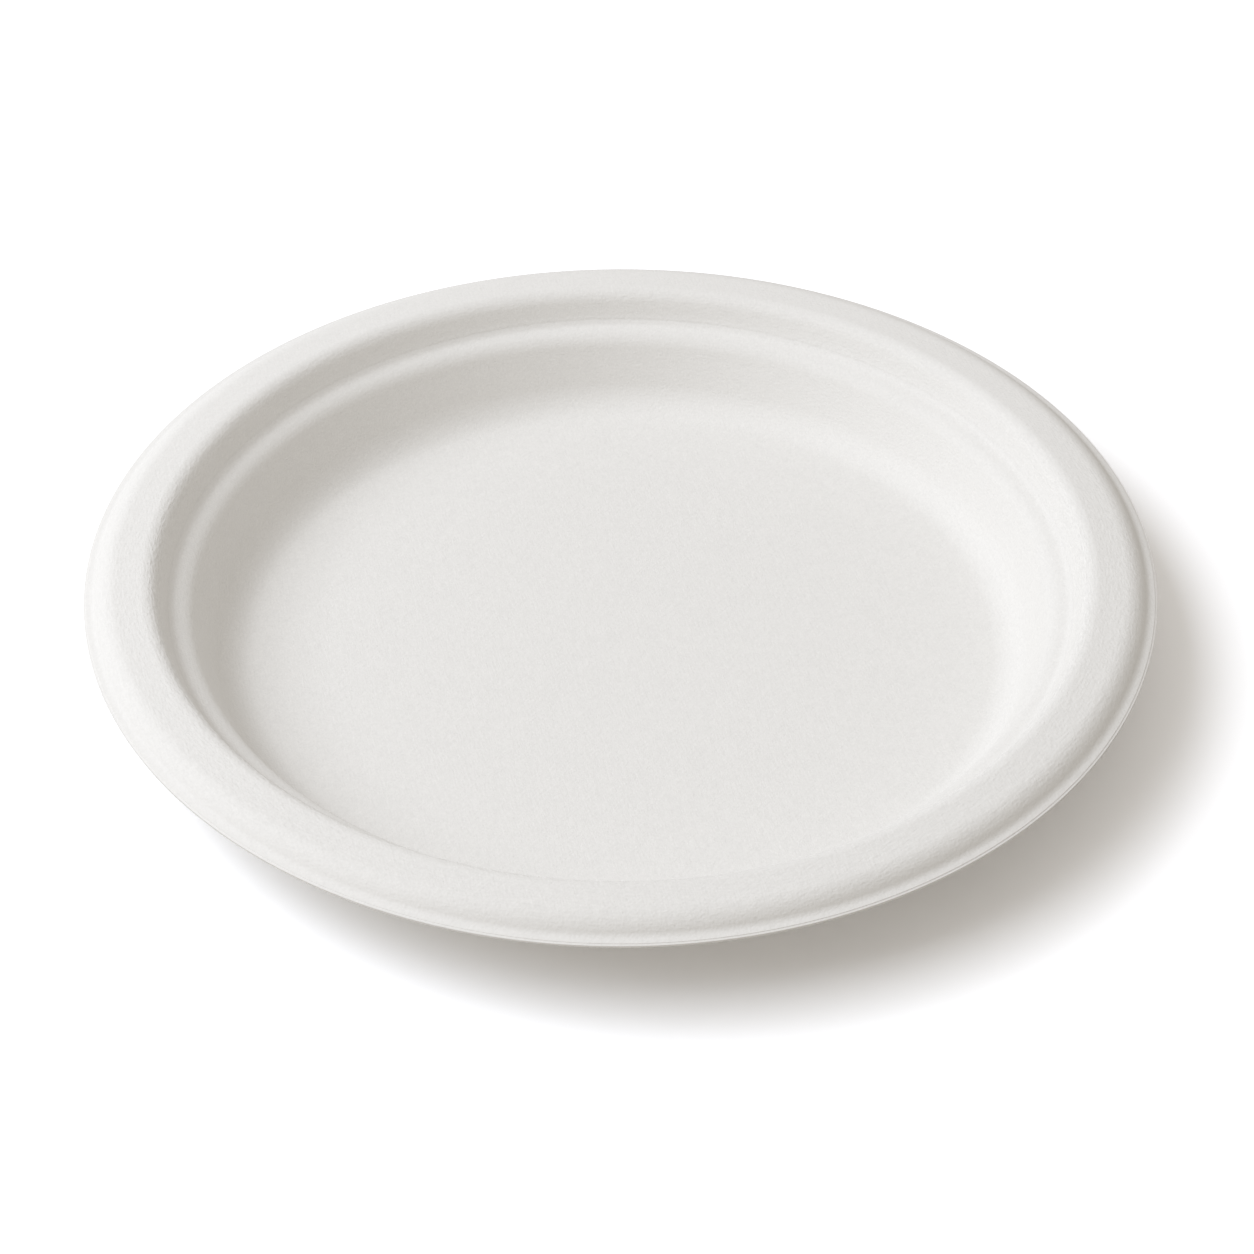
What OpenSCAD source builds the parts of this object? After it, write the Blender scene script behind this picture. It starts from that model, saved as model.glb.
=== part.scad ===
// A round disposable plate, moulded in one piece from plant fibre.
// The skin has one even thickness: the underside runs parallel to the eating face.

/* [Plate] */
// Diameter over the trimmed edge of the lip
plate_d = 225; // [200:1:260]
// Height from the table to the top of the rim
plate_h = 23.5; // [21:0.5:30]
// Thickness of the moulded skin
skin_t = 0.6; // [0.4:0.05:0.9]

/* [Wall] */
// Slope of the wall, below and above the stacking ledge, in degrees from level
wall_slope = 68; // [55:0.5:75]
// Radius of the hollow curve that leads the floor up into the wall
cove_r = 8; // [5:0.1:18]
// Height of the stacking ledge above the floor, at its inner edge
ledge_h = 14.8; // [12:0.2:16]
// Width of the stacking ledge, seen from above
ledge_w = 4.6; // [3:0.2:8]
// Slope of the stacking ledge, in degrees from level
ledge_slope = 20; // [5:0.5:30]
// Radius over the ledge's inner edge
ledge_edge_r = 4.6; // [1.5:0.1:8]
// Radius in the corner where the wall goes on above the ledge
ledge_root_r = 4.2; // [0.5:0.1:5]

/* [Rim] */
// Width of the rim, from the top of the wall to the shoulder
rim_w = 10.6; // [7:0.2:14]
// Fall of the rim towards the shoulder, in degrees from level
rim_fall = 1.5; // [0:0.5:12]
// Radius over the rim's inner edge
rim_edge_r = 3.8; // [1.5:0.1:6]
// Radius over the shoulder
shoulder_r = 5.6; // [1.5:0.1:8]
// Slope of the skirt below the shoulder, in degrees from level
skirt_slope = 54; // [40:1:70]
// Height of the skirt, from the shoulder down to the lip
skirt_h = 2.9; // [1.5:0.1:5]

/* [Lip] */
// Width of the lip that the trimming die leaves outside the skirt
lip_w = 2; // [1:0.1:4]
// Fall of the lip towards its trimmed edge, in degrees from level
lip_fall = 13; // [0:1:25]
// Radius in the corner where the skirt turns out into the lip
lip_root_r = 2; // [0.5:0.1:5]

/* [Hidden] */

// Fineness of the drawn curves: steps round the plate, and degrees of turn to a step along the section
$fn = 180;
turn_step = 5;

// The rim's inner corner stands a little above its rounded top
rim_rise = rim_edge_r * (cos((wall_slope - rim_fall) / 2) / cos((wall_slope + rim_fall) / 2) - 1);

// Heights of the section's corners on the eating face
floor_z = skin_t;
ledge_z = floor_z + ledge_h;
root_z = ledge_z + ledge_w * tan(ledge_slope);
rim_z = plate_h + rim_rise;
shoulder_z = rim_z - rim_w * tan(rim_fall);
lip_z = shoulder_z - skirt_h;
edge_z = lip_z - lip_w * tan(lip_fall);

// Radii of the same corners, worked out from the trimmed edge inwards
plate_r = plate_d / 2;
lip_in_r = plate_r - lip_w;
shoulder_out_r = lip_in_r - skirt_h / tan(skirt_slope);
rim_in_r = shoulder_out_r - rim_w;
root_out_r = rim_in_r - (rim_z - root_z) / tan(wall_slope);
ledge_in_r = root_out_r - ledge_w;
floor_r = ledge_in_r - ledge_h / tan(wall_slope);

// The corners from the centre outwards, each [radius, height, radius of its rounding]
corners = [
    [0, floor_z, 0],
    [floor_r, floor_z, cove_r],
    [ledge_in_r, ledge_z, ledge_edge_r],
    [root_out_r, root_z, ledge_root_r],
    [rim_in_r, rim_z, rim_edge_r],
    [shoulder_out_r, shoulder_z, shoulder_r],
    [lip_in_r, lip_z, lip_root_r],
    [plate_r, edge_z, 0]
];
last = len(corners) - 1;

// Length and heading of the straight run that starts at corner i, and the turn made at corner i
function place(i) = [corners[i][0], corners[i][1]];
function run(i) = norm(place(i + 1) - place(i));
function heading(i) = atan2(corners[i + 1][1] - corners[i][1], corners[i + 1][0] - corners[i][0]);
function turn(i) = heading(i) - heading(i - 1);

// How far a rounding reaches back along its runs; two roundings share a run that is too short for both
function reach(i) = (i == 0 || i == last) ? 0 : corners[i][2] * tan(abs(turn(i)) / 2);
function share(i) = min(1, run(i) / (reach(i) + reach(i + 1)));
function setback(i) = reach(i) * min(share(i - 1), share(i));

// Unit vectors along a heading and to its left
function along(a) = [cos(a), sin(a)];
function left(a) = [-sin(a), cos(a)];

// The rounding at corner i, as points that each carry the heading there: [place, heading]
function rounding(i) =
    let (
        side = sign(turn(i)),
        r = setback(i) / tan(abs(turn(i)) / 2),
        start = place(i) - setback(i) * along(heading(i - 1)),
        centre = start + side * r * left(heading(i - 1)),
        steps = ceil(abs(turn(i)) / turn_step)
    )
    [for (k = [0:steps])
        let (a = heading(i - 1) + turn(i) * k / steps)
        [centre - side * r * left(a), a]];

// The eating face from the centre to the lip, and the underside a skin's thickness below it
face = [for (i = [1:last - 1]) each rounding(i)];
top = concat([place(0)], [for (p = face) p[0]], [place(last)]);
under = concat(
    [place(0) - [0, skin_t]],
    [for (p = face) p[0] - skin_t * left(p[1])],
    [place(last) - [0, skin_t / cos(lip_fall)]]
);

module section() {
    polygon(concat(top, [for (i = [len(under) - 1:-1:0]) under[i]]));
}

module plate() {
    color("#F3F1EC") rotate_extrude() section();
}

plate();
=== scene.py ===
"""Looks for a round disposable plate of moulded plant fibre, on a white studio ground."""

import math

import bpy
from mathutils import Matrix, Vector


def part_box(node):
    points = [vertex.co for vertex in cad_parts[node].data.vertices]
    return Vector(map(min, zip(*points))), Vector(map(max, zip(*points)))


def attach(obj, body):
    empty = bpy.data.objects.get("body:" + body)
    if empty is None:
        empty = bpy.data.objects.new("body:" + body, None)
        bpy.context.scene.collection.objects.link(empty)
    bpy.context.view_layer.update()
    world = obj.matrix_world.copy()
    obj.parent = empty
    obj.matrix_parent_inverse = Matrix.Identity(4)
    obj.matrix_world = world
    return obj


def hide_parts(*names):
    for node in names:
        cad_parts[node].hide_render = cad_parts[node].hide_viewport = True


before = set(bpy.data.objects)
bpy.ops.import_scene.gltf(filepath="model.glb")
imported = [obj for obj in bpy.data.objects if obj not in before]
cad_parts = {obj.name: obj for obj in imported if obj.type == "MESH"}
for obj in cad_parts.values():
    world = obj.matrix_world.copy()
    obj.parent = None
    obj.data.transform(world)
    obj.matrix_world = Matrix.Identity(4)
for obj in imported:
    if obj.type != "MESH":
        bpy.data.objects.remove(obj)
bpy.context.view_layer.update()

bl_info = {
    "name": "Moulded Fibre Plate",
    "version": (1, 0, 0),
    "blender": (4, 5, 0),
    "location": "3D View > Sidebar > Plate",
    "description": "Makes a disposable plate of moulded plant fibre and the white stage it stands on",
    "category": "Object",
}

MM = 0.001
PLATE_LOW, PLATE_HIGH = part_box("plate")


# Properties that a user would change

def length(name, description, default):
    """A length property, with its default in millimetres."""
    return bpy.props.FloatProperty(
        name=name, description=description, default=default * MM, min=0, unit="LENGTH", precision=5
    )


def angle(name, description, default):
    """An angle property, with its default in degrees."""
    return bpy.props.FloatProperty(
        name=name, description=description, default=math.radians(default), subtype="ANGLE"
    )


def amount(name, description, default):
    """A plain number."""
    return bpy.props.FloatProperty(name=name, description=description, default=default, min=0)


def power(name, description, default):
    """A lamp's power, in watts."""
    return bpy.props.FloatProperty(name=name, description=description, default=default, min=0, unit="POWER")


def colour(name, description, default):
    """A colour property in linear light."""
    return bpy.props.FloatVectorProperty(
        name=name, description=description, default=default, min=0, max=1, size=3, subtype="COLOR"
    )


class PlateSizes(bpy.types.PropertyGroup):
    """Sizes of the plate's section, as the CAD part has them, and of what is finer than the solid."""

    diameter: length("Diameter", "Over the trimmed edge of the lip", (PLATE_HIGH[0] - PLATE_LOW[0]) / MM)
    height: length("Height", "From the table to the top of the rim", PLATE_HIGH[2] / MM)
    skin: length("Skin", "Thickness of the moulded skin", 0.6)
    wall_slope: angle("Wall Slope", "Slope of the wall, from level", 68)
    cove: length("Cove", "Radius that leads the floor up into the wall", 8)
    ledge_height: length("Ledge Height", "Height of the stacking ledge above the floor", 14.8)
    ledge_width: length("Ledge Width", "Width of the stacking ledge, seen from above", 4.6)
    ledge_slope: angle("Ledge Slope", "Slope of the stacking ledge, from level", 20)
    ledge_edge: length("Ledge Edge", "Radius over the ledge's inner edge", 4.6)
    ledge_root: length("Ledge Root", "Radius where the wall goes on above the ledge", 4.2)
    rim_width: length("Rim Width", "From the top of the wall to the shoulder", 10.6)
    rim_fall: angle("Rim Fall", "Fall of the rim towards the shoulder, from level", 1.5)
    rim_edge: length("Rim Edge", "Radius over the rim's inner edge", 3.8)
    shoulder: length("Shoulder", "Radius over the shoulder", 5.6)
    skirt_slope: angle("Skirt Slope", "Slope of the skirt below the shoulder, from level", 54)
    skirt_height: length("Skirt Height", "From the shoulder down to the lip", 2.9)
    lip_width: length("Lip Width", "Width of the lip outside the skirt", 2)
    lip_fall: angle("Lip Fall", "Fall of the lip towards its trimmed edge, from level", 13)
    lip_root: length("Lip Root", "Radius where the skirt turns out into the lip", 2)
    hollow_width: length("Hollow Width", "Half the width of the hollow beside the ledge's root", 1.1)
    hollow_depth: length("Hollow Depth", "Depth of that hollow", 0.2)
    hollow_inset: length("Hollow Inset", "From the ledge's root in to the middle of that hollow", 1.0)
    pinch_width: length("Pinch Width", "Width of the band that the trimming die presses down", 0.45)
    pinch_depth: length("Pinch Depth", "How far that band is pressed below the lip", 0.12)
    burr: length("Edge Rounding", "Radius that the die leaves on the cut edge", 0.08)
    wave: length("Warp", "How far the skin stands out of true, up or down", 0.12)
    wave_length: length("Warp Length", "Distance from one rise of the warp to the next", 70)
    wander: length("Wander", "How far the plate draws in here and there from a true circle", 0.1)
    lobing: length("Lobing", "How far it draws in between its three lobes", 0.45)
    lobe_turn: angle("Lobe Turn", "Turn of the first lobe about Z, from +X", 32)
    seed: bpy.props.IntProperty(name="Seed", description="Picks another warp", default=4)
    turns: bpy.props.IntProperty(name="Turns", description="Steps round the plate", default=320, min=24)


class PlateFinish(bpy.types.PropertyGroup):
    """Colour and texture of the moulded fibre, with shade painted into the hollows of its relief."""

    fibre: colour("Fibre", "Colour of the pressed fibre", (0.813, 0.8, 0.773))
    cloud: amount("Cloudiness", "Share by which thick and thin places differ in colour", 0.02)
    cloud_size: length("Cloud Size", "Size of those places", 9)
    fleck: amount("Flecks", "Share by which scattered fibres are darker than the rest", 0.05)
    fibre_length: length("Fibre Length", "Length of the fibres that show on the surface", 2.2)
    fibre_width: length("Fibre Width", "Width of the fibres that show on the surface", 0.45)
    fibre_depth: length("Fibre Relief", "Height of those fibres above the hollows between them", 0.05)
    # Partly the fibres' own tone, partly painted shade in the hollows between them
    fibre_tone_and_shade: amount("Fibre Tone", "Share by which the hollows between the fibres are darker", 0.06)
    grain_size: length("Grain Size", "Size of the fine grain between the fibres", 0.5)
    grain_depth: length("Grain Relief", "Height of the fine grain", 0.042)
    crinkle_length: length("Crinkle Length", "Length of the crinkles round the drawn edges", 2)
    crinkle_width: length("Crinkle Width", "Width of those crinkles", 0.5)
    crinkle_depth: length("Crinkle Relief", "Height of those crinkles", 0.26)
    # Painted shade in the hollows of the crinkles
    crinkle_painted_shade: amount("Crinkle Tone", "Share by which their hollows are darker", 0.26)
    crinkle_calm: amount("Far Calm", "Share by which the crinkles are weaker on the far side", 0.65)
    crease_width: length("Crease Width", "Half the width of the crease at the root of the ledge", 0.32)
    crease_depth: length("Crease Depth", "Depth of that crease", 0.06)
    # Painted shade in the crease at the ledge's root
    crease_painted_shade: amount("Crease Tone", "Share by which that crease is darker", 0.015)
    screen_pitch: length("Screen Pitch", "Pitch of the forming screen's print on the underside", 0.9)
    screen_depth: length("Screen Relief", "Depth of that print", 0.012)


class StageLight(bpy.types.PropertyGroup):
    """Strengths of the studio light and the tone of the ground."""

    key: power("Key", "Power of the wide lamp on the left", 15.3)
    side: power("Side", "Power of the smaller lamp behind it", 3.15)
    lamp_tint: colour("Lamp Tint", "Colour of both lamps, a little cool", (0.878, 0.921, 1.0))
    fill: amount("Fill", "Strength of the even light from all round", 0.506)
    fill_tint: colour("Fill Tint", "Colour of that light, a little warm", (1.0, 0.952, 0.89))
    ground: colour("Ground", "Colour of the ground, as its light reaches the plate", (0.6, 0.575, 0.53))
    ground_seen: amount("Ground Seen", "How white the ground is to the eye; 1 sends all light back", 1.405)
    ground_tint: colour("Ground Tint", "Tint of that white, a little cool", (0.98, 0.986, 1.0))


# The plate's section

def section_corners(size):
    """The eating face's corners from the centre outwards, each (radius, height, rounding)."""
    slope, fall = size.wall_slope, size.rim_fall
    rim_rise = size.rim_edge * (math.cos((slope - fall) / 2) / math.cos((slope + fall) / 2) - 1)
    ledge_z = size.skin + size.ledge_height
    root_z = ledge_z + size.ledge_width * math.tan(size.ledge_slope)
    rim_z = size.height + rim_rise
    shoulder_z = rim_z - size.rim_width * math.tan(fall)
    lip_z = shoulder_z - size.skirt_height
    edge_z = lip_z - size.lip_width * math.tan(size.lip_fall)
    plate_r = size.diameter / 2
    lip_r = plate_r - size.lip_width
    shoulder_r = lip_r - size.skirt_height / math.tan(size.skirt_slope)
    rim_r = shoulder_r - size.rim_width
    root_r = rim_r - (rim_z - root_z) / math.tan(slope)
    ledge_r = root_r - size.ledge_width
    floor_r = ledge_r - size.ledge_height / math.tan(slope)
    return [
        (0, size.skin, 0),
        (floor_r, size.skin, size.cove),
        (ledge_r, ledge_z, size.ledge_edge),
        (root_r, root_z, size.ledge_root),
        (rim_r, rim_z, size.rim_edge),
        (shoulder_r, shoulder_z, size.shoulder),
        (lip_r, lip_z, size.lip_root),
        (plate_r, edge_z, 0),
    ]


def rounded(corners, turn_step):
    """The same run with each corner rounded, as (radius, height, heading)."""
    pairs = list(zip(corners, corners[1:]))
    runs = [math.dist(a[:2], b[:2]) for a, b in pairs]
    headings = [math.atan2(b[1] - a[1], b[0] - a[0]) for a, b in pairs]
    turns = [math.remainder(b - a, math.tau) for a, b in zip(headings, headings[1:])]
    reaches = [0] + [c[2] * math.tan(abs(t) / 2) for c, t in zip(corners[1:], turns)] + [0]
    shares = [min(1, run / (a + b)) for run, a, b in zip(runs, reaches, reaches[1:])]
    points = [(corners[0][0], corners[0][1], headings[0])]
    for i, turn in enumerate(turns, 1):
        setback = reaches[i] * min(shares[i - 1], shares[i])
        radius = math.copysign(setback / math.tan(abs(turn) / 2), turn)
        back = headings[i - 1]
        middle_r = corners[i][0] - setback * math.cos(back) - radius * math.sin(back)
        middle_z = corners[i][1] - setback * math.sin(back) + radius * math.cos(back)
        steps = math.ceil(abs(turn) / turn_step)
        for k in range(steps + 1):
            heading = back + turn * k / steps
            points.append(
                (middle_r + radius * math.sin(heading), middle_z - radius * math.cos(heading), heading)
            )
    points.append((corners[-1][0], corners[-1][1], headings[-1]))
    return points


def spaced(points, longest):
    """The points with more between them, so that no step is longer than longest."""
    filled = [points[0]]
    for a, b in zip(points, points[1:]):
        steps = max(1, math.ceil(math.dist(a[:2], b[:2]) / longest))
        filled += [tuple(p + (q - p) * k / steps for p, q in zip(a, b)) for k in range(1, steps + 1)]
    return filled


def run_lengths(points):
    """How far along the run each point lies."""
    along = [0.0]
    for a, b in zip(points, points[1:]):
        along.append(along[-1] + math.dist(a[:2], b[:2]))
    return along


def bell(value, centre, width, power=2):
    """A smooth weight that is 1 at centre and fades beyond width, the more sharply the higher the power."""
    return math.exp(-(abs((value - centre) / width) ** power))


# The place of the ledge's root among the corners
LEDGE_ROOT = 3


def hollowed(face, size):
    """The face with the skin pressed in a little beside the ledge's root."""
    root_r = section_corners(size)[LEDGE_ROOT][0]
    along = run_lengths(face)
    root = min(zip(face, along), key=lambda pair: abs(pair[0][0] - root_r))[1]
    pressed = []
    for (r, z, heading), reached in zip(face, along):
        depth = size.hollow_depth * bell(reached, root - size.hollow_inset, size.hollow_width)
        pressed.append((r + depth * math.sin(heading), z - depth * math.cos(heading), heading))
    return pressed


# The longest steps along the section: turns on the roundings, lengths on the straight runs
ARC_STEP = math.radians(4)
BURR_STEP = math.radians(15)
FLOOR_STEP = 3 * MM
WALL_STEP = 1 * MM


def skin_section(size):
    """The skin's section, from the centre over the eating face, round the cut edge and back underneath.

    Each point is (radius, height, side): side is 0 on the eating face and 1 on the underside."""
    face = rounded(section_corners(size), ARC_STEP)
    floor, wall = face[:2], face[1:]
    face = hollowed(spaced(floor, FLOOR_STEP) + spaced(wall, WALL_STEP)[1:], size)
    under = [(r + size.skin * math.sin(a), z - size.skin * math.cos(a)) for r, z, a in face[:-1]]
    edge_r, edge_z, edge_a = face[-1]
    outward = Vector((math.cos(edge_a), math.sin(edge_a)))
    start = Vector((edge_r, edge_z)) - outward * size.pinch_width / math.cos(edge_a)
    drop = Vector((0, -size.pinch_depth))
    top = [(r, z) for r, z, a in face[:-1] if r < start.x - size.pinch_depth]
    foot = Vector((edge_r, edge_z - size.skin / math.cos(edge_a)))
    cut_top = Vector((edge_r, edge_z)) + drop
    lip_end = start - outward * size.pinch_depth
    step_end = start + drop
    trimmed = rounded(
        [
            (*lip_end, 0),
            (*start, size.burr),
            (*step_end, size.burr),
            (*cut_top, size.burr),
            (*foot, size.burr),
            (*(foot - outward * size.pinch_width), 0),
        ],
        BURR_STEP,
    )
    edge = [(r, z) for r, z, a in trimmed[1:-1]]
    below = [p for p in reversed(under) if p[0] < edge[-1][0]]
    return [(r, z, 0.0) for r, z in top + edge] + [(r, z, 1.0) for r, z in below]


# How far the crinkles reach from an edge, their share of the full relief, and the power of a flat bell
EDGE_BAND = 1.6 * MM
LEDGE_BAND = 1.2 * MM
LEDGE_SHARE = 0.35
RIM_SHARE = 0.4
WALL_SHARE = 0.1
FLAT_TOP = 6


def section_mesh(size):
    """The section as a row of points in the XZ plane, with what the material needs to know of each."""
    points = skin_section(size)
    mesh = bpy.data.meshes.new("plate_section")
    mesh.from_pydata(
        [(r, 0, z) for r, z, side in points], [(i, i + 1) for i in range(len(points) - 1)], []
    )
    _, floor_r, ledge_r, root_r, rim_r, shoulder_r, *_ = [corner[0] for corner in section_corners(size)]
    rim_middle, rim_half = (rim_r + shoulder_r) / 2, (shoulder_r - rim_r) / 2 + EDGE_BAND
    wall_middle, wall_half = (floor_r + rim_r) / 2, (rim_r - floor_r) / 2
    along = run_lengths(points)
    crinkle = [
        max(
            bell(r, rim_r, EDGE_BAND),
            LEDGE_SHARE * bell(r, ledge_r, LEDGE_BAND),
            RIM_SHARE * bell(r, rim_middle, rim_half, FLAT_TOP),
            WALL_SHARE * bell(r, wall_middle, wall_half, FLAT_TOP),
        )
        for r, z, side in points
    ]
    root = min(zip(points, along), key=lambda pair: (pair[0][2], abs(pair[0][0] - root_r)))[1]
    for name, values in (
        ("underside", [p[2] for p in points]),
        ("along", along),
        ("from_root", [a - root for a in along]),
        ("crinkle", crinkle),
    ):
        mesh.attributes.new(name, "FLOAT", "POINT").data.foreach_set("value", values)
    return mesh


# Help for node trees

def put(tree, kind, inputs=(), **settings):
    """A new node with its settings made and its inputs linked or set. Returns the node."""
    made = tree.nodes.new(kind)
    for name, value in settings.items():
        setattr(made, name, value)
    for key, value in dict(inputs).items():
        if isinstance(value, bpy.types.NodeSocket):
            tree.links.new(value, made.inputs[key])
        else:
            made.inputs[key].default_value = value
    return made


def calc(tree, operation, *values):
    """The result of a Math node on sockets or numbers."""
    return put(tree, "ShaderNodeMath", enumerate(values), operation=operation).outputs[0]


def vector(tree, x, y, z):
    """Three sockets or numbers as one vector."""
    return put(tree, "ShaderNodeCombineXYZ", {"X": x, "Y": y, "Z": z}).outputs[0]


def noise(tree, place, scale, detail=0.0, seed=None):
    """Smooth noise from 0 to 1 at a place, with its features 1 / scale apart."""
    inputs = {"Vector": place, "Scale": scale, "Detail": detail}
    if seed is None:
        return put(tree, "ShaderNodeTexNoise", inputs).outputs[0]
    return put(tree, "ShaderNodeTexNoise", {**inputs, "W": seed}, noise_dimensions="4D").outputs[0]


# The revolved skin

WELD = 0.001 * MM
LOBES = 3


def revolve_tree():
    """Geometry nodes that revolve a section about Z and warp the skin as drying does."""
    tree = bpy.data.node_groups.new("Revolved Skin", "GeometryNodeTree")
    sockets = {}
    for name, kind in (
        ("Section", "NodeSocketGeometry"),
        ("Turns", "NodeSocketInt"),
        ("Height", "NodeSocketFloat"),
        ("Radius", "NodeSocketFloat"),
        ("Warp", "NodeSocketFloat"),
        ("Warp Length", "NodeSocketFloat"),
        ("Wander", "NodeSocketFloat"),
        ("Lobing", "NodeSocketFloat"),
        ("Lobe Turn", "NodeSocketFloat"),
        ("Seed", "NodeSocketInt"),
        ("Material", "NodeSocketMaterial"),
    ):
        sockets[name] = tree.interface.new_socket(name=name, in_out="INPUT", socket_type=kind)
    tree.interface.new_socket(name="Plate", in_out="OUTPUT", socket_type="NodeSocketGeometry")
    given = put(tree, "NodeGroupInput").outputs

    section = given["Section"]
    rows = put(tree, "GeometryNodeAttributeDomainSize", {0: section}, component="MESH").outputs[0]
    columns = calc(tree, "ADD", given["Turns"], 1)
    grid = put(tree, "GeometryNodeMeshGrid", {"Vertices X": rows, "Vertices Y": columns}).outputs[0]
    index = put(tree, "GeometryNodeInputIndex").outputs[0]
    # The half keeps rounding from changing the row
    row = calc(tree, "FLOOR", calc(tree, "DIVIDE", calc(tree, "ADD", index, 0.5), columns))
    column = calc(tree, "SUBTRACT", index, calc(tree, "MULTIPLY", row, columns))
    turn = calc(tree, "MULTIPLY", calc(tree, "DIVIDE", column, given["Turns"]), math.tau)

    def of_section(value, kind):
        inputs = {"Geometry": section, "Value": value, "Index": row}
        return put(tree, "GeometryNodeSampleIndex", inputs, data_type=kind).outputs[0]

    place = of_section(put(tree, "GeometryNodeInputPosition").outputs[0], "FLOAT_VECTOR")
    turned = put(
        tree, "ShaderNodeVectorRotate", {"Vector": place, "Angle": turn}, rotation_type="Z_AXIS"
    ).outputs[0]
    skin = put(tree, "GeometryNodeSetPosition", {"Geometry": grid, "Position": turned}).outputs[0]
    for name in ("underside", "along", "from_root", "crinkle"):
        value = put(tree, "GeometryNodeInputNamedAttribute", {"Name": name}, data_type="FLOAT").outputs[0]
        inputs = {"Geometry": skin, "Name": name, "Value": of_section(value, "FLOAT")}
        skin = put(tree, "GeometryNodeStoreNamedAttribute", inputs, data_type="FLOAT").outputs[0]
    skin = put(tree, "GeometryNodeMergeByDistance", {"Geometry": skin, "Distance": WELD}).outputs[0]

    here = put(tree, "ShaderNodeSeparateXYZ", {0: put(tree, "GeometryNodeInputPosition").outputs[0]}).outputs
    level = vector(tree, here["X"], here["Y"], 0)
    spread = noise(tree, level, calc(tree, "DIVIDE", 1, given["Warp Length"]), seed=given["Seed"])
    # The warp lifts the foot and lowers the rim, so that the plate keeps within its height
    twice_up = calc(tree, "MULTIPLY", here["Z"], 2)
    lean = calc(tree, "SUBTRACT", 1, calc(tree, "DIVIDE", twice_up, given["Height"]))
    rise = calc(tree, "MULTIPLY", calc(tree, "MULTIPLY", spread, given["Warp"]), lean)
    # The plate is only drawn inwards, so that it keeps within its diameter
    aim = put(tree, "ShaderNodeVectorMath", {0: level}, operation="NORMALIZE").outputs[0]
    drawn = calc(tree, "MULTIPLY", noise(tree, aim, 1, seed=given["Seed"]), given["Wander"])
    bearing = calc(tree, "SUBTRACT", calc(tree, "ARCTAN2", here["Y"], here["X"]), given["Lobe Turn"])
    lobe = calc(tree, "COSINE", calc(tree, "MULTIPLY", bearing, LOBES))
    between = calc(tree, "DIVIDE", calc(tree, "SUBTRACT", 1, lobe), 2)
    drawn = calc(tree, "ADD", drawn, calc(tree, "MULTIPLY", between, given["Lobing"]))
    inward = calc(tree, "MULTIPLY", calc(tree, "DIVIDE", drawn, given["Radius"]), -1)
    offset = vector(
        tree, calc(tree, "MULTIPLY", here["X"], inward), calc(tree, "MULTIPLY", here["Y"], inward), rise
    )
    skin = put(tree, "GeometryNodeSetPosition", {"Geometry": skin, "Offset": offset}).outputs[0]
    skin = put(tree, "GeometryNodeSetShadeSmooth", {0: skin}).outputs[0]
    skin = put(tree, "GeometryNodeRealizeInstances", {0: skin}).outputs[0]
    skin = put(tree, "GeometryNodeSetMaterial", {"Geometry": skin, "Material": given["Material"]}).outputs[0]
    put(tree, "NodeGroupOutput", {0: skin})
    return tree, sockets


# The fibre

FIBRE_ANGLES = (12, 74, 131)
# How far round to the far side the crinkles are at their weakest, as the sine of the turn about Z
CALM_FULL = 0.6
# The noise at which flecks start to show, and at which they are full
FLECK_START = 0.7
FLECK_FULL = 0.8
# The least and the most roughness
MATT = (0.82, 0.96)
SHINE = 0.3


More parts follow.
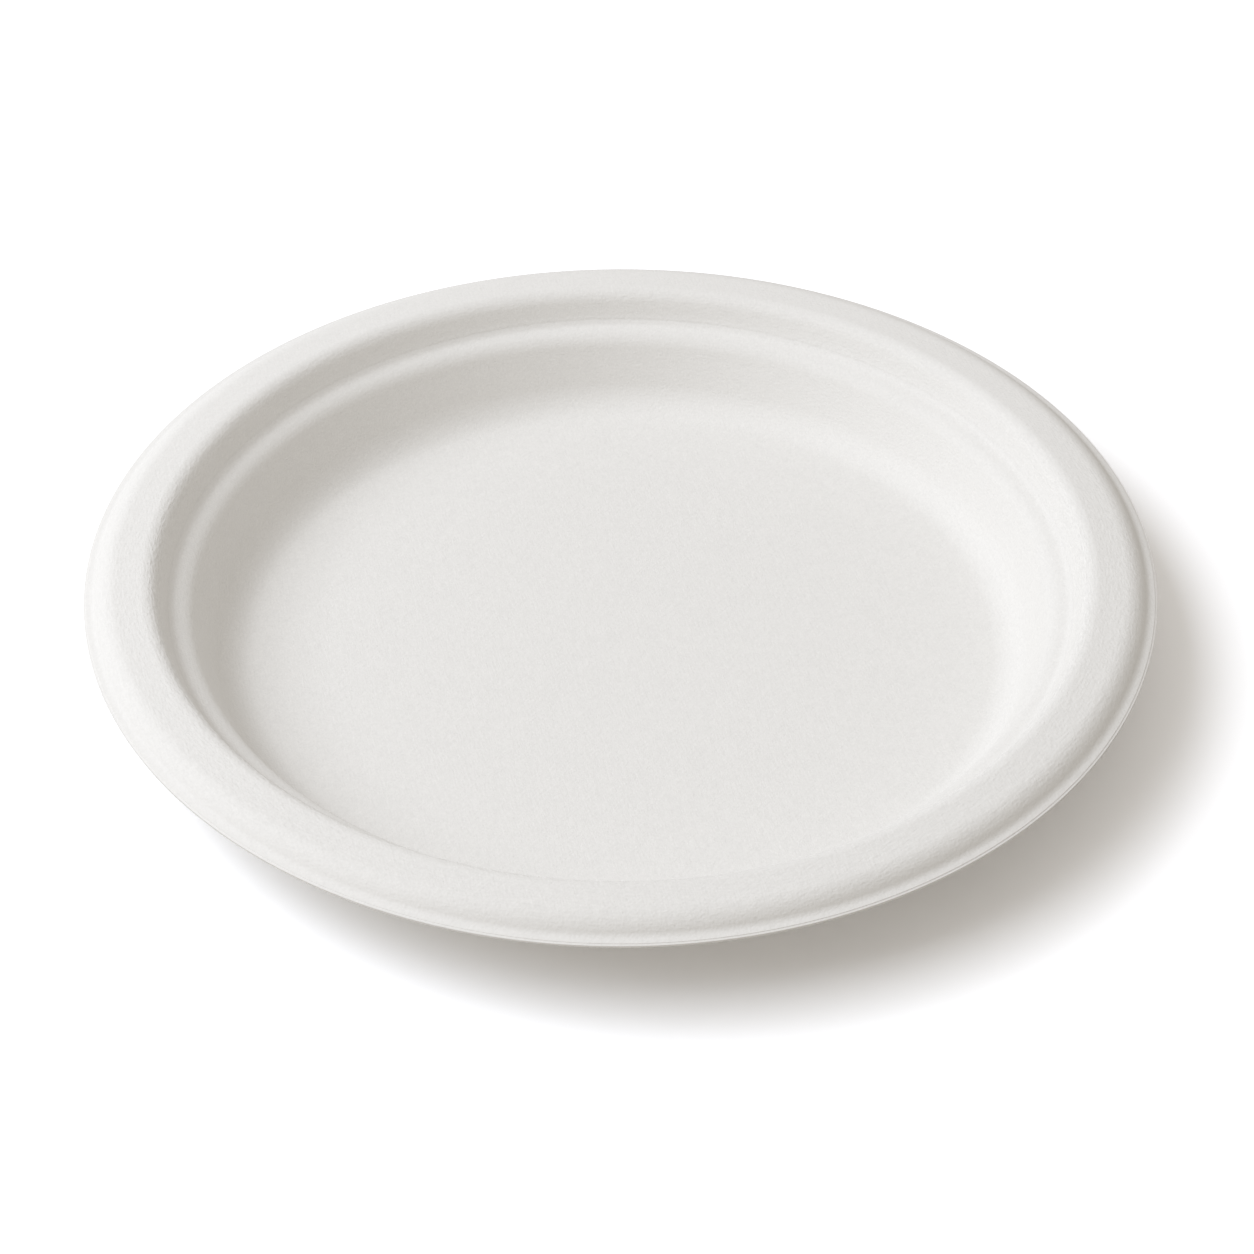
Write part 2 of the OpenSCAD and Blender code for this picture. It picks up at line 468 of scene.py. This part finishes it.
def fibre_material(finish, size):
    """Pressed plant fibre: laid fibres in every direction, a fine grain, crinkles round the drawn edges, and
    shade painted into their hollows and the crease.
    """
    material = bpy.data.materials.new("moulded_fibre")
    material.use_nodes = True
    tree = material.node_tree
    tree.nodes.clear()
    place = put(tree, "ShaderNodeTexCoord").outputs["Object"]

    def read(name):
        return put(tree, "ShaderNodeAttribute", attribute_name=name).outputs["Fac"]

    # One layer of fibres in each direction, each moved aside so that no two meet at the centre
    laid = []
    for layer, degrees in enumerate(FIBRE_ANGLES):
        inputs = {"Vector": place, "Location": (1, layer, 0), "Rotation": (0, 0, math.radians(degrees))}
        turned = put(tree, "ShaderNodeMapping", inputs).outputs[0]
        across = 1 / finish.fibre_width
        inputs = {"Vector": turned, "Scale": (1 / finish.fibre_length, across, across)}
        stretched = put(tree, "ShaderNodeMapping", inputs).outputs[0]
        laid.append(noise(tree, stretched, 1, detail=1))
    fibres = calc(tree, "ADD", calc(tree, "ADD", laid[0], laid[1]), laid[2])
    grain = noise(tree, place, 1 / finish.grain_size, detail=2)

    # The crinkles run round the plate, in the turn about Z and the distance along the section
    at = put(tree, "ShaderNodeSeparateXYZ", {0: place}).outputs
    aim = put(
        tree, "ShaderNodeVectorMath", {0: vector(tree, at["X"], at["Y"], 0)}, operation="NORMALIZE"
    ).outputs[0]
    aim = put(tree, "ShaderNodeSeparateXYZ", {0: aim}).outputs
    round_scale = size.diameter / 2 / finish.crinkle_length
    ring = vector(
        tree,
        calc(tree, "MULTIPLY", aim["X"], round_scale),
        calc(tree, "MULTIPLY", aim["Y"], round_scale),
        calc(tree, "DIVIDE", read("along"), finish.crinkle_width),
    )
    streaks = noise(tree, ring, 1, detail=2)
    weakest = 1 - finish.crinkle_calm
    calm = put(
        tree, "ShaderNodeMapRange",
        {"Value": aim["Y"], "From Min": 0, "From Max": CALM_FULL, "To Min": 1, "To Max": weakest},
    ).outputs[0]
    edges = calc(tree, "MULTIPLY", read("crinkle"), calm)
    crinkle = calc(tree, "MULTIPLY", streaks, edges)

    wires = [
        calc(tree, "SINE", calc(tree, "MULTIPLY", at[axis], math.tau / finish.screen_pitch))
        for axis in ("X", "Y")
    ]
    screen = calc(tree, "MULTIPLY", calc(tree, "MULTIPLY", wires[0], wires[1]), read("underside"))

    off = calc(tree, "DIVIDE", read("from_root"), finish.crease_width)
    crease = calc(tree, "EXPONENT", calc(tree, "MULTIPLY", calc(tree, "MULTIPLY", off, off), -1))

    height = calc(tree, "MULTIPLY", fibres, finish.fibre_depth)
    for relief, depth in (
        (grain, finish.grain_depth),
        (crinkle, finish.crinkle_depth),
        (crease, -finish.crease_depth),
        (screen, finish.screen_depth / 2),
    ):
        height = calc(tree, "ADD", height, calc(tree, "MULTIPLY", relief, depth))
    bump = put(tree, "ShaderNodeBump", {"Height": height, "Distance": 1.0, "Strength": 1.0}).outputs[0]

    cloud = noise(tree, place, 1 / finish.cloud_size, detail=3)
    tone = calc(tree, "ADD", 1 - finish.cloud / 2, calc(tree, "MULTIPLY", cloud, finish.cloud))
    fleck = put(
        tree, "ShaderNodeMapRange",
        {"Value": laid[0], "From Min": FLECK_START, "From Max": FLECK_FULL, "To Max": finish.fleck},
    ).outputs[0]
    tone = calc(tree, "SUBTRACT", tone, fleck)
    # Noise is 0.5 on average, and what lies below the average is darker: painted shade in the hollows of the
    # fibres and crinkles, which for the fibres is partly their own tone too
    above_fibres = calc(tree, "SUBTRACT", fibres, len(FIBRE_ANGLES) / 2)
    above_streaks = calc(tree, "MULTIPLY", calc(tree, "SUBTRACT", streaks, 0.5), edges)
    for relief, share in (
        # Partly the fibres' own tone, partly painted shade in the hollows between them
        (above_fibres, finish.fibre_tone_and_shade),
        # Painted shade in the hollows of the crinkles
        (above_streaks, finish.crinkle_painted_shade),
        # Painted shade in the crease at the ledge's root
        (crease, -finish.crease_painted_shade),
    ):
        tone = calc(tree, "ADD", tone, calc(tree, "MULTIPLY", relief, share))
    tinted = put(
        tree, "ShaderNodeVectorMath", {0: tuple(finish.fibre), "Scale": tone}, operation="SCALE"
    ).outputs[0]
    rough = put(
        tree, "ShaderNodeMapRange", {"Value": grain, "To Min": MATT[0], "To Max": MATT[1]}
    ).outputs[0]
    shader = put(
        tree, "ShaderNodeBsdfPrincipled",
        {"Base Color": tinted, "Roughness": rough, "Specular IOR Level": SHINE, "Normal": bump},
    ).outputs[0]
    put(tree, "ShaderNodeOutputMaterial", {"Surface": shader})
    return material


# Making the plate

class MouldPlate(bpy.types.Operator):
    """Mould the plate: one skin, revolved from its section and warped a little by drying"""

    bl_idname = "fibre_plate.mould"
    bl_label = "Mould the Plate"

    def execute(self, context):
        size = context.scene.plate_sizes
        tree, sockets = revolve_tree()
        blank = bpy.data.objects.new("plate_blank", section_mesh(size))
        context.scene.collection.objects.link(blank)
        modifier = blank.modifiers.new("revolve", "NODES")
        modifier.node_group = tree
        for name, value in (
            ("Turns", size.turns),
            ("Height", size.height),
            ("Radius", size.diameter / 2),
            ("Warp", size.wave),
            ("Warp Length", size.wave_length),
            ("Wander", size.wander),
            ("Lobing", size.lobing),
            ("Lobe Turn", size.lobe_turn),
            ("Seed", size.seed),
            ("Material", fibre_material(context.scene.plate_finish, size)),
        ):
            modifier[sockets[name].identifier] = value
        made = blank.evaluated_get(context.evaluated_depsgraph_get())
        mesh = bpy.data.meshes.new_from_object(made)
        if not mesh.polygons:
            raise RuntimeError("the section gave no plate")
        mesh.name = "fibre_plate"
        plate = bpy.data.objects.new("fibre_plate", mesh)
        context.scene.collection.objects.link(plate)
        bpy.data.objects.remove(blank)
        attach(plate, "root")
        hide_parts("plate")
        return {"FINISHED"}


# The stage: sizes and distances in metres, a lamp's place as its turn about Z and its rise, in degrees

GROUND_HALF = 0.45
EYE = Vector((8.0, -602.3, 503.1)) * MM
AIM = Vector((1.3, 4.05, 0.6)) * MM
LENS_MM = 105.47
SENSOR_MM = 36.0
KEY_PLACE = (187, 50)
KEY_PANEL = (1.5, 1.1)
SIDE_PLACE = (165, 45)
SIDE_PANEL = (0.75, 0.75)
LAMP_DISTANCE = 1.5


def hang_lamp(scene, name, bearing, panel, watts, tint):
    """A flat soft lamp that faces the plate from a turn about Z and a rise above the horizon, in degrees."""
    light = bpy.data.lights.new(name, "AREA")
    light.shape = "RECTANGLE"
    light.size, light.size_y = panel
    light.energy = watts
    light.color = tint
    lamp = bpy.data.objects.new(name, light)
    turn, rise = map(math.radians, bearing)
    level = math.cos(rise)
    outward = Vector((math.cos(turn) * level, math.sin(turn) * level, math.sin(rise)))
    lamp.location = outward * LAMP_DISTANCE
    lamp.rotation_euler = (-outward).to_track_quat("-Z", "Y").to_euler()
    scene.collection.objects.link(lamp)


def ground_material(light):
    """Ground that is white to the eye, with a plain shade for the light that it throws back on the plate."""
    material = bpy.data.materials.new("white_ground")
    material.use_nodes = True
    tree = material.node_tree
    tree.nodes.clear()
    path = put(tree, "ShaderNodeLightPath").outputs
    seen = calc(tree, "MAXIMUM", path["Is Camera Ray"], path["Is Glossy Ray"])
    seen = calc(tree, "MAXIMUM", seen, path["Is Transmission Ray"])
    plain = put(tree, "ShaderNodeBsdfDiffuse", {"Color": (*light.ground, 1)}).outputs[0]
    to_eye = [light.ground_seen * tint for tint in light.ground_tint]
    white = put(tree, "ShaderNodeBsdfDiffuse", {"Color": (*to_eye, 1)}).outputs[0]
    both = put(tree, "ShaderNodeMixShader", {0: seen, 1: plain, 2: white}).outputs[0]
    put(tree, "ShaderNodeOutputMaterial", {"Surface": both})
    return material


def set_world(scene, light):
    """Even fill light from all round, behind which the eye sees white."""
    world = bpy.data.worlds.new("studio")
    world.use_nodes = True
    scene.world = world
    tree = world.node_tree
    tree.nodes.clear()
    path = put(tree, "ShaderNodeLightPath").outputs
    seen = calc(tree, "MAXIMUM", path["Is Camera Ray"], path["Is Glossy Ray"])
    seen = calc(tree, "MAXIMUM", seen, path["Is Transmission Ray"])
    fill = put(
        tree, "ShaderNodeBackground", {"Color": (*light.fill_tint, 1), "Strength": light.fill}
    ).outputs[0]
    white = put(tree, "ShaderNodeBackground", {"Color": (1, 1, 1, 1), "Strength": 1.0}).outputs[0]
    both = put(tree, "ShaderNodeMixShader", {0: seen, 1: fill, 2: white}).outputs[0]
    put(tree, "ShaderNodeOutputWorld", {"Surface": both})


class SetStage(bpy.types.Operator):
    """Set the stage: white ground, soft studio light and the camera"""

    bl_idname = "fibre_plate.stage"
    bl_label = "Set the Stage"

    def execute(self, context):
        scene = context.scene
        light = scene.stage_light
        mesh = bpy.data.meshes.new("ground")
        mesh.from_pydata(
            [(x * GROUND_HALF, y * GROUND_HALF, 0) for x, y in ((-1, -1), (1, -1), (1, 1), (-1, 1))],
            [], [(0, 1, 2, 3)],
        )
        mesh.materials.append(ground_material(light))
        ground = bpy.data.objects.new("ground", mesh)
        scene.collection.objects.link(ground)
        set_world(scene, light)
        hang_lamp(scene, "key", KEY_PLACE, KEY_PANEL, light.key, light.lamp_tint)
        hang_lamp(scene, "side", SIDE_PLACE, SIDE_PANEL, light.side, light.lamp_tint)

        camera = bpy.data.cameras.new("camera")
        camera.lens = LENS_MM
        camera.sensor_width = SENSOR_MM
        eye = bpy.data.objects.new("camera", camera)
        eye.location = EYE
        eye.rotation_euler = (AIM - EYE).to_track_quat("-Z", "Y").to_euler()
        scene.collection.objects.link(eye)
        scene.camera = eye
        scene.view_settings.view_transform = "Standard"
        return {"FINISHED"}


# The panel and the registration

class PlatePanel(bpy.types.Panel):
    """Lists the plate's steps and sizes"""

    bl_label = "Moulded Fibre Plate"
    bl_idname = "VIEW3D_PT_fibre_plate"
    bl_space_type = "VIEW_3D"
    bl_region_type = "UI"
    bl_category = "Plate"

    def draw(self, context):
        for operator, group in (
            (MouldPlate, context.scene.plate_sizes),
            (None, context.scene.plate_finish),
            (SetStage, context.scene.stage_light),
        ):
            if operator:
                self.layout.operator(operator.bl_idname)
            column = self.layout.column(align=True)
            for name in group.__annotations__:
                column.prop(group, name)


CLASSES = (PlateSizes, PlateFinish, StageLight, MouldPlate, SetStage, PlatePanel)
GROUPS = {"plate_sizes": PlateSizes, "plate_finish": PlateFinish, "stage_light": StageLight}


def register():
    for each in CLASSES:
        bpy.utils.register_class(each)
    for name, group in GROUPS.items():
        setattr(bpy.types.Scene, name, bpy.props.PointerProperty(type=group))


def unregister():
    for name in GROUPS:
        delattr(bpy.types.Scene, name)
    for each in reversed(CLASSES):
        bpy.utils.unregister_class(each)


def main():
    register()
    bpy.ops.fibre_plate.mould()
    bpy.ops.fibre_plate.stage()


if __name__ == "__main__":
    main()
